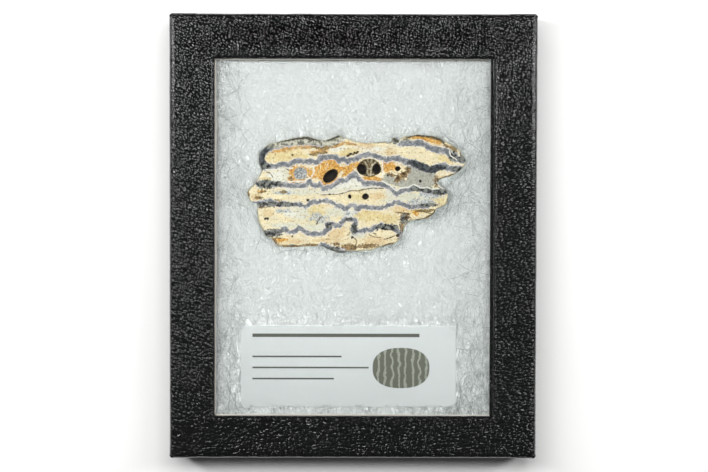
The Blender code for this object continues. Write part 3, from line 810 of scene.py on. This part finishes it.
# The slice's colours, laid over one another from the first to the last. What is read is a grain or one of
# the fields above; it is stirred by a grain, then shows between two values with some strength, in two
# mottled colours.
# Grains: mm across, detail, how far they are drawn out along the plates.
fossilGrains = {"broad": (3.6, 3, 1), "middle": (1.3, 3, 1), "fine": (0.62, 3, 1), "grit": (0.36, 2, 1),
                "streak": (1, 4, 0.42)}
fossilBase = "#dbceac"
fossilLayers = [
    # read, stirred by, amount, from, to, strength, colours, mottled by
    ("broad", None, 0, 0.0, 1.0, 1.0, "#c1b494", "#cbc0a5", "broad"),
    ("streak", None, 0, 0.60, 1.0, 0.40, "#c4ae7d", "#bea36f", "fine"),
    ("middle", None, 0, 0.60, 1.0, 0.35, "#dbd6c6", "#ded8ca", "fine"),
    ("haze", "middle", 0.40, 0.15, 0.95, 0.85, "#bebeb0", "#c4c4b8", "broad"),
    ("chalk", "middle", 0.50, 0.20, 0.70, 0.95, "#d3d1c8", "#c8c6bb", "fine"),
    ("yellow", "middle", 0.50, 0.20, 0.90, 0.75, "#caba8b", "#c4ac6f", "middle"),
    ("peach", "middle", 0.50, 0.20, 0.90, 0.60, "#c6ac81", "#c09b6b", "middle"),
    ("amber", "middle", 0.60, 0.28, 0.60, 0.95, "#ce9932", "#a16913", "fine"),
    ("vein", "fine", 0.70, 0.42, 0.95, 0.90, "#ceb98c", "#d0c4a9", "fine"),
    ("streaks", "streak", 0.80, 0.20, 0.85, 0.85, "#be8b3d", "#8b622d", "middle"),
    ("cream", "middle", 0.60, 0.30, 0.60, 0.95, "#d1c8b2", "#c9b68d", "fine"),
    ("fine", None, 0, 0.50, 1.0, 0.34, "#a69167", "#978156", "streak"),
    ("fine", None, 0, 0.40, 0.0, 0.30, "#dcd6c6", "#dad3c0", "middle"),
    ("grit", "middle", 0.30, 0.86, 1.05, 0.60, "#926f42", "#785e3e", "fine"),
    ("strewn", "middle", 1.00, 0.40, 0.85, 0.85, "#6c747c", "#c0c4c4", "fine"),
    ("edge", "middle", 0.80, 0.10, -0.25, 0.25, "#684f30", "#977e50", "fine"),
    ("olive", "fine", 0.70, 0.28, 0.70, 0.90, "#867042", "#5c4d2e", "fine"),
    ("grey", "middle", 0.25, 0.28, 0.55, 1.0, "#a8a69b", "#89887f", "grit"),
    ("brown", "fine", 0.90, 0.32, 0.62, 0.95, "#36260e", "#977848", "grit"),
    ("fold", "fine", 0.30, 0.36, 0.10, 0.80, "#cbc7ca", "#beb7c0", "middle"),
    ("fold", "fine", 0.50, 0.06, -0.08, 1.0, "#686a6d", "#949496", "middle"),
    ("fold", "fine", 1.20, -0.55, -1.00, 0.70, "#4d5157", "#606469", "grit"),
    ("deepFold", "fine", 0.60, 0.45, 0.90, 0.70, "#595d67", "#65676e", "streak"),
    ("slate", "fine", 0.50, 0.20, 0.55, 0.92, "#1b1d20", "#41464b", "middle"),
    ("weathered", "fine", 0.60, 0.30, 0.65, 0.95, "#68665c", "#bab7a7", "middle"),
    ("dark", "fine", 0.90, 0.26, 0.62, 0.95, "#1b1c1c", "#71726d", "middle"),
    ("white", "fine", 0.20, 0.28, 0.10, 1.0, "#cdcac2", "#d0ccc2", "fine"),
    ("rimLine", "fine", 0.60, 0.75, 0.30, 0.95, "#2c2a23", "#585344", "fine"),
    ("hair", "fine", 0.25, 0.24, 0.06, 0.95, "#3e311e", "#5b4a2e", "fine"),
    ("speck", "grit", 0.30, 0.12, -0.08, 1.0, "#110c07", "#1f160c", "fine"),
    ("crystals", "fine", 0.30, 0.40, 0.60, 1.0, "#66696c", "#a5a7a5", "fine"),
    ("pit", "fine", 0.10, 0.46, 0.56, 1.0, "#281d11", "#735e3d", "fine"),
    ("flank", "middle", 0.60, 0.50, 1.10, 0.60, "#c3b490", "#97845f", "middle"),
    # painted shade in the hollows: dark brown just inside the mouth, near black further down
    ("mouth", None, 0, 0.20, 0.90, 1.0, "#3b2a17", "#674f2e", "fine"),
    ("hollowShade", "fine", 0.30, 0.15, 0.70, 1.0, "#0a0705", "#1b130b", "fine"),
    ("struts", "fine", 0.45, 0.40, 0.16, 0.95, "#796f55", "#bcb5a1", "fine"),
]


def makeFossil():
    # Fossil tooth, sawn and polished: cream cement, amber dentine, blue-grey enamel, brown crusts
    made, tree, shader = newMaterial("polishedFossilTooth")
    place = addNode(tree, "TexCoord").outputs["Object"]
    grains, mottles = {}, {}
    for name, (size, detail, drawn) in fossilGrains.items():
        turned = addNode(tree, "Mapping", {"Vector": place, "Scale": (drawn, 1, 1)})
        cloud = addNode(tree, "TexNoise", {
            "Vector": turned, "Scale": 1 / (size * mm), "Detail": detail, "Roughness": 0.6})
        # the noise keeps to the middle of its range, so it is spread over 0 to 1
        grains[name] = addNode(tree, "MapRange", {"Value": cloud, "From Min": 0.33, "From Max": 0.67})
        mottles[name] = addNode(tree, "MapRange", {
            "Value": grains[name], "From Min": 0.25, "From Max": 0.75}, interpolation_type="SMOOTHSTEP")
    colour = fossilBase
    for name, stir, amount, start, end, strength, one, two, mottle in fossilLayers:
        value = grains.get(name) or addNode(tree, "Attribute", attribute_name=name).outputs["Fac"]
        if stir:
            centred = addNode(tree, "Math", {0: grains[stir], 1: 0.5}, operation="SUBTRACT")
            value = addNode(tree, "Math", {0: centred, 1: amount, 2: value}, operation="MULTIPLY_ADD")
        share = addNode(tree, "MapRange", {
            "Value": value, "From Min": start, "From Max": end, "To Max": strength},
            interpolation_type="SMOOTHSTEP")
        paint = addNode(tree, "Mix", {0: mottles[mottle], 6: one, 7: two}, data_type="RGBA")
        colour = addNode(tree, "Mix", {0: share, 6: colour, 7: paint}, data_type="RGBA")
    rough = addNode(tree, "Attribute", attribute_name="rough").outputs["Fac"]
    polish = addNode(tree, "MapRange", {
        "Value": rough, "From Min": 0.3, "From Max": 0.9, "To Min": 0.24, "To Max": 0.75})
    height = addNode(tree, "Math", {0: rough, 1: grains["grit"], 2: grains["fine"]}, operation="MULTIPLY_ADD")
    bump = addNode(tree, "Bump", {"Height": height, "Distance": 0.05 * mm, "Strength": 0.3})
    fillInputs(tree, shader, {"Base Color": colour, "Roughness": polish, "IOR": 1.56, "Normal": bump})
    return made


molarPiece = makeMolar()
shapeMolar(molarPiece)
activate(molarPiece)
bpy.ops.object.shade_smooth()
dress(molarPiece, makeFossil())
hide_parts("molar_slice")
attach(molarPiece, "root")
print("molar:", len(molarPiece.data.polygons), "faces")


card = {
    "centre": (-1.4, -41.2), "size": (67.8, 25.6), "bottom": 13.9, "top": 14.3, "cornerRound": 0.5,
    "stock": ("#bbbdbf", "#b6b9b9"), "ink": "#4a4c45",
    # ruled lines: left, right, height, thickness
    "rules": [(-31.7, 21.0, -31.3, 1.1), (-31.7, -3.6, -38.0, 0.52), (-31.7, 5.0, -41.5, 0.52),
              (-31.7, -6.0, -45.0, 0.52)],
    "oval": (15.2, -41.6, 9.0, 6.4),      # centre and half sizes of the ridged oval
    "motif": "#55574c", "ridge": "#b4b6ac", "fleck": "#55574e",
}


def makeCard():
    (x, y), (width, length) = card["centre"], card["size"]
    high = card["top"]
    piece = addBox("specimen_card", (x - width / 2, y - length / 2, card["bottom"]),
                   (x + width / 2, y + length / 2, high))
    roundEdges(piece, card["cornerRound"], 3, lambda a, b: abs(a.z - b.z) > 0.1)
    roundEdges(piece, 0.08, 2, lambda a, b: min(a.z, b.z) > high - 0.01)
    bpy.ops.object.shade_smooth_by_angle(angle=math.radians(40))

    # Smooth white card, printed in grey: matt
    made, tree, shader = newMaterial("printedCard")
    place = addNode(tree, "TexCoord").outputs["Object"]
    inMm = addNode(tree, "VectorMath", {0: place, "Scale": 1 / mm}, operation="SCALE")
    axes = addNode(tree, "SeparateXYZ", {0: inMm})
    across, up = axes.outputs[0], axes.outputs[1]

    fibre = addNode(tree, "TexNoise", {"Vector": place, "Scale": 1 / (0.5 * mm), "Detail": 3})
    colour = addNode(tree, "Mix", {0: fibre, 6: card["stock"][0], 7: card["stock"][1]}, data_type="RGBA")
    for left, right, height, thick in card["rules"]:
        # a rule is a box: how far a point lies past its nearest side
        past = []
        for axis, middle, half in ((across, (left + right) / 2, (right - left) / 2), (up, height, thick / 2)):
            off = addNode(tree, "Math", {0: axis, 1: middle}, operation="SUBTRACT")
            size = addNode(tree, "Math", {0: off}, operation="ABSOLUTE")
            past.append(addNode(tree, "Math", {0: size, 1: half}, operation="SUBTRACT"))
        away = addNode(tree, "Math", {0: past[0], 1: past[1]}, operation="MAXIMUM")
        line = addNode(tree, "MapRange", {"Value": away, "From Min": 0.05, "From Max": -0.05})
        colour = addNode(tree, "Mix", {0: line, 6: colour, 7: card["ink"]}, data_type="RGBA")
    # ridged oval: the powers of both distances, taken together, give its squarish round outline
    x, y, halfX, halfY = card["oval"]
    reach = 0
    for axis, middle, half in ((across, x, halfX), (up, y, halfY)):
        off = addNode(tree, "Math", {0: axis, 1: middle}, operation="SUBTRACT")
        share = addNode(tree, "Math", {0: off, 1: half}, operation="DIVIDE")
        size = addNode(tree, "Math", {0: share}, operation="ABSOLUTE")
        power = addNode(tree, "Math", {0: size, 1: 2.4}, operation="POWER")
        reach = addNode(tree, "Math", {0: power, 1: reach}, operation="ADD")
    shape = addNode(tree, "MapRange", {"Value": reach, "From Min": 1.02, "From Max": 0.965})
    wobble = addNode(tree, "TexNoise", {"Vector": place, "Scale": 1 / (3 * mm), "Detail": 2})
    bend = addNode(tree, "Math", {0: wobble, 1: 7}, operation="MULTIPLY")
    swing = addNode(tree, "Math", {0: across, 1: 2.9, 2: bend}, operation="MULTIPLY_ADD")
    crest = addNode(tree, "Math", {0: swing}, operation="SINE")
    ridge = addNode(tree, "MapRange", {"Value": crest, "From Min": 0.35, "From Max": 0.8, "To Max": 0.45})
    body = addNode(tree, "Mix", {0: ridge, 6: card["motif"], 7: card["ridge"]}, data_type="RGBA")
    grain = addNode(tree, "TexNoise", {"Vector": place, "Scale": 1 / (0.45 * mm), "Detail": 2})
    flecked = addNode(tree, "MapRange", {"Value": grain, "From Min": 0.5, "From Max": 0.7, "To Max": 0.5})
    body = addNode(tree, "Mix", {0: flecked, 6: body, 7: card["fleck"]}, data_type="RGBA")
    colour = addNode(tree, "Mix", {0: shape, 6: colour, 7: body}, data_type="RGBA")
    fillInputs(tree, shader, {"Base Color": colour, "Roughness": 0.6})
    dress(piece, made)
    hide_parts("label_card")
    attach(piece, "root")


makeCard()
print("card printed")


pad = {
    "low": (-53.4, -65.5, 2.1), "high": (53.4, 65.5, 13.0),    # starts a little small, because it swells
    "round": 2.6, "voxel": 2.4, "pressure": 4.0, "steps": 20, "cap": 1.3,
    "glass": 14.45, "limit": (53.6, 65.7), "floor": 1.95,
    "dipDepth": 0.5, "dipReach": 1.9,                   # how far it rolls down to the slice, over what width
    # painted shade: the fluff's colour is darkened beside the slice, least on its far side, and more faintly
    # beside the card
    "shade": 1.5, "shadeReach": 1.6, "shadeShift": (-0.4, 0.6),    # darker beside it, least on its far side
    "shadeCard": 0.25,                                  # share of that shade beside the card
    "pocket": 7.9, "closeIn": 0.6, "clearance": 0.02,   # points this near the slice move close to it
    "rise": 1.2, "slack": 0.35, "lump": 0.14,           # it springs up, and stays this far below the glass
    "underCard": 13.75, "cardSlope": 0.6,
    # where painted shade darkens it towards three sides, with looser and more uneven fibres there, and over
    # what width
    "shadeLooseRight": (18, 26), "shadeLooseLeft": (31, 6), "shadeLooseNear": (20, 40),
    # the darker fluff colour serves both the felt's texture and the painted shade
    "fluff": ("#aab0af", "#fdfefe"), "dull": "#eceeed",
}


def makePad():
    piece = addBox("batting_pad", pad["low"], pad["high"])
    roundEdges(piece, pad["round"], 3, lambda a, b: True)
    applyModifier(piece, "REMESH", mode="VOXEL", voxel_size=pad["voxel"] * mm)
    start = readPoints(piece)
    activate(piece)
    cloth = piece.modifiers.new("Cloth", "CLOTH")
    cloth.settings.use_pressure = True
    cloth.settings.uniform_pressure_force = pad["pressure"]
    cloth.settings.effector_weights.gravity = 0
    cloth.settings.mass = 0.3
    cloth.point_cache.frame_start, cloth.point_cache.frame_end = 1, pad["steps"]
    for step in range(1, pad["steps"] + 1):
        bpy.context.scene.frame_set(step)
    bpy.ops.object.modifier_apply(modifier=cloth.name)
    bpy.context.scene.frame_set(1)
    moved = readPoints(piece) - start
    distance = np.maximum(np.linalg.norm(moved, axis=1), 1e-6)
    writePoints(piece, start + moved * np.minimum(1, pad["cap"] / distance)[:, None])
    applyModifier(piece, "SUBSURF", levels=1, render_levels=1)
    applyModifier(piece, "SUBSURF", levels=1, render_levels=1, subdivision_type="SIMPLE")
    return piece


def cardDistance(points):
    # how far points lie outside the card, seen from above
    return np.max(np.abs(points[:, :2] - card["centre"]) - np.array(card["size"]) / 2, axis=1)


def fluffTone(points):
    # how light the fluff is, and how much its fibres differ: painted shade darkens it towards the sides and
    # the near end, where its fibres are also looser and more uneven, and painted shade darkens it beside the
    # slice and the card
    x, y = points[:, 0], points[:, 1]
    shadedLoose = ramp(x, *pad["shadeLooseRight"]) + ramp(-x, *pad["shadeLooseLeft"]) * 0.8
    shadedLoose += ramp(-y, *pad["shadeLooseNear"]) * (0.3 + 0.5 * ramp(x, 20, 20))
    clumps = waves(points[:, :2] * (1, 0.45), 2.2, 77) * (0.06 + 0.34 * shadedLoose)
    # painted shade beside the slice, shifted so that it is least on the slice's far side, and fainter beside
    # the card
    fromSlice = outlineDistance(points[:, :2] + pad["shadeShift"])
    beside = np.exp(-np.clip(fromSlice, 0, 30) / pad["shadeReach"])
    beside += pad["shadeCard"] * np.exp(-np.clip(cardDistance(points), 0, 30) / pad["shadeReach"])
    # painted shade: the tone falls towards the sides, the near end, the slice and the card; the fibres'
    # spread grows where the fluff is looser
    return (1.15 - 0.50 * np.clip(shadedLoose, 0, 1.6) + clumps - pad["shade"] * beside,
            0.20 + 1.0 * np.clip(shadedLoose, 0, 1.2))


def shapePad(piece):
    # pressed flat by the glass, fluffed into low lumps, rolled down round the slice
    points = readPoints(piece)
    up = readVectors(piece, "normal")[:, 2] > 0.3
    lump = (waves(points[:, :2], 11, 31) * 0.6 + waves(points[:, :2], 4.5, 32) * 0.4) * pad["lump"]
    press = np.minimum(points[:, 2] + pad["rise"], pad["glass"] - pad["slack"]) + lump
    cardTop = pad["underCard"] + np.clip((cardDistance(points) - 0.35) * pad["cardSlope"], 0, 2)
    points[:, 2] = np.where(up, np.minimum(press, cardTop), points[:, 2])
    # points next to the slice move to its outline, so that the pad lies close round it
    flat = points[:, :2]
    away = outlineDistance(flat)
    slope = np.column_stack([outlineDistance(flat + step) - away for step in ((0.3, 0), (0, 0.3))])
    slope /= np.maximum(np.linalg.norm(slope, axis=1), 1e-6)[:, None]
    goal = np.where(up & (away > 0.05) & (away < pad["closeIn"]), pad["clearance"], away)
    goal = np.where(up & (away > -0.55) & (away <= 0.05), 0.06, goal)
    points[:, :2] = flat + slope * (goal - away)[:, None]
    roll = pad["dipDepth"] * np.exp(-np.clip(goal, 0, 30) / pad["dipReach"])
    points[:, 2] = np.where(up, points[:, 2] - roll, points[:, 2])
    points[:, 2] = np.where(up & (away <= 0.05), pad["pocket"], points[:, 2])
    limitX, limitY = pad["limit"]
    points = np.clip(points, (-limitX, -limitY, pad["floor"]), (limitX, limitY, pad["glass"]))
    writePoints(piece, points)
    # the tone carries the painted shade into the batting's colour
    addAttribute(piece, "tone", fluffTone(points)[0])


def makeBatting():
    # Polyester batting: white, matt, crossed by fine curled fibres that catch a little light
    made, tree, shader = newMaterial("polyesterBatting")
    place = addNode(tree, "TexCoord").outputs["Object"]
    felt = 0
    for turn, size in ((12, 0.35), (75, 0.4), (128, 0.5)):
        laid = addNode(tree, "Mapping", {
            "Vector": place, "Rotation": (0, 0, math.radians(turn)), "Scale": (1, 0.14, 1)})
        threads = addNode(tree, "TexNoise", {
            "Vector": laid, "Scale": 1 / (size * mm), "Detail": 2, "Distortion": 0.6})
        felt = addNode(tree, "Math", {0: threads, 1: felt}, operation="MAXIMUM")
    broad = addNode(tree, "TexNoise", {"Vector": place, "Scale": 1 / (9 * mm), "Detail": 3})
    # the tone attribute holds painted shade; the felt adds the fibres' own texture
    tone = addNode(tree, "Attribute", attribute_name="tone").outputs["Fac"]
    lit = addNode(tree, "Math", {0: tone, 1: 0.25, 2: felt}, operation="MULTIPLY_ADD")
    shade = addNode(tree, "MapRange", {"Value": lit, "From Min": 0.50, "From Max": 0.86})
    colour = addNode(tree, "Mix", {0: shade, 6: pad["fluff"][0], 7: pad["fluff"][1]}, data_type="RGBA")
    dulled = addNode(tree, "MapRange", {"Value": broad, "From Min": 0.4, "From Max": 0.7, "To Max": 0.25})
    colour = addNode(tree, "Mix", {0: dulled, 6: colour, 7: pad["dull"]}, data_type="RGBA")
    bump = addNode(tree, "Bump", {"Height": felt, "Distance": 0.25 * mm, "Strength": 0.6})
    fillInputs(tree, shader, {"Base Color": colour, "Normal": bump, "Roughness": 0.85, "Sheen Weight": 0.3})
    return made


battingPad = makePad()
shapePad(battingPad)
activate(battingPad)
bpy.ops.object.shade_smooth()
dress(battingPad, makeBatting())
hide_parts("batting")
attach(battingPad, "root")
print("batting:", len(battingPad.data.polygons), "faces")


fibres = {
    "count": 7000, "seed": 7, "width": 0.13, "length": (5.0, 17.0), "past": 4,   # mm past the window
    "shorter": (1, 0.5, 0.25, 0.12),            # shares of its length that are tried beside slice and card
    "lift": (0.07, 0.27), "highest": 14.6,      # above the pad, and below the glass
    # a small share of short ones crosses the card's near edge
    "overCard": 0.03, "overNear": (-57.0, -54.6), "overLength": (1.5, 4.0),
    # the darker fibre tone serves both the fibres' random spread and the painted shade
    "tones": ("#8f9493", "#f9fafa"),
}


def makeFibreMaterial():
    # Crimped polyester fibre: white, with a dull sheen
    made, tree, shader = newMaterial("polyesterFibre")
    place = addNode(tree, "TexCoord").outputs["Object"]
    # the tone attribute holds painted shade and each fibre's own tone
    tone = addNode(tree, "Attribute", attribute_name="tone").outputs["Fac"]
    vary = addNode(tree, "TexNoise", {"Vector": place, "Scale": 1 / (5 * mm), "Detail": 3})
    both = addNode(tree, "Math", {0: vary, 1: 0.5, 2: tone}, operation="MULTIPLY_ADD", use_clamp=True)
    spread = addNode(tree, "MapRange", {"Value": both, "From Min": 0.25, "From Max": 1.25})
    colour = addNode(tree, "Mix", {0: spread, 6: fibres["tones"][0], 7: fibres["tones"][1]}, data_type="RGBA")
    fillInputs(tree, shader, {"Base Color": colour, "Roughness": 0.65})
    return made


def makeFibres(name, padPiece, seed, made):
    # one straight fibre is modelled, and laid many times along curved paths on the pad
    one = addPrimitive(bpy.ops.mesh.primitive_cylinder_add, "fibre", vertices=3, radius=0.5 * mm, depth=mm)
    settle(one)
    cutGrid(one, 2, (-0.25, 0.0, 0.25))
    shape = readPoints(one)
    faces = [list(face.vertices) for face in one.data.polygons]
    bpy.data.objects.remove(one)
    levels = np.unique(np.round(shape[:, 2], 3))
    rung = np.searchsorted(levels, np.round(shape[:, 2], 3))     # which place along the path each point takes
    surface = rayTree(padPiece)
    dice = np.random.default_rng(seed)
    left, right, near, far = lid["window"]
    past = fibres["past"]
    vertices, polygons, tones = [], [], []
    while len(tones) < fibres["count"]:
        x, y = dice.uniform(left - past, right + past), dice.uniform(near - past, far + past)
        heading = dice.normal(math.pi / 2, 0.55) if dice.random() < 0.6 else dice.uniform(0, math.pi)
        reach = dice.uniform(*fibres["length"])
        short = dice.random() < fibres["overCard"]
        if short:
            x = card["centre"][0] + dice.uniform(-0.5, 0.5) * card["size"][0]
            y = dice.uniform(*fibres["overNear"])
            heading, reach = dice.normal(math.pi / 2, 0.5), dice.uniform(*fibres["overLength"])
        bend = dice.normal(0, 1.1) / reach
        # one that would cross the slice or the card is shortened, or else left out
        for share in fibres["shorter"]:
            steps = levels * reach * share
            path = np.column_stack((x + np.cos(heading + bend * steps) * steps,
                                    y + np.sin(heading + bend * steps) * steps))
            onCard = cardDistance(path)
            if outlineDistance(path).min() > 0.15 and (short or onCard.min() > 0.1):
                break
        else:
            continue
        lift = dice.uniform(*fibres["lift"])
        heights = []
        for (px, py), over in zip(path, onCard):
            hit = rayDown(surface, px, py)
            ground = hit.z if hit is not None else 13.0
            if over < 0.3:
                ground = card["top"] + 0.05
            heights.append(min(ground + lift, fibres["highest"]))
        slope = np.gradient(path, axis=0)
        side = np.column_stack((-slope[:, 1], slope[:, 0]))
        side /= np.maximum(np.linalg.norm(side, axis=1), 1e-6)[:, None]
        thick = fibres["width"] * dice.uniform(0.7, 1.2)
        placed = np.column_stack((path, heights))[rung]
        placed[:, :2] += side[rung] * (shape[:, :1] * thick)
        placed[:, 2] += shape[:, 1] * thick
        offset = len(tones) * len(shape)
        vertices.append(placed)
        polygons.extend([[n + offset for n in face] for face in faces])
        # each fibre takes the fluff's painted shade and spread where it lies; short ones over the card are
        # darker
        level, spread = fluffTone(path[2:3])
        tones.append(level[0] + spread[0] * (dice.random() - 0.5) - 0.5 * short)
    mesh = bpy.data.meshes.new(name)
    mesh.from_pydata((np.concatenate(vertices) * mm).tolist(), [], polygons)
    piece = bpy.data.objects.new(name, mesh)
    bpy.context.scene.collection.objects.link(piece)
    addAttribute(piece, "tone", np.repeat(tones, len(shape)))
    editAll(piece, bpy.ops.mesh.normals_make_consistent, inside=False)
    bpy.ops.object.shade_smooth()
    dress(piece, made)
    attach(piece, "root")
    return piece


fibreMaterial = makeFibreMaterial()
for number in (1, 2):
    strands = makeFibres(f"batting_fibres_{number}", battingPad, fibres["seed"] + number, fibreMaterial)
    print("fibres:", len(strands.data.polygons), "faces")
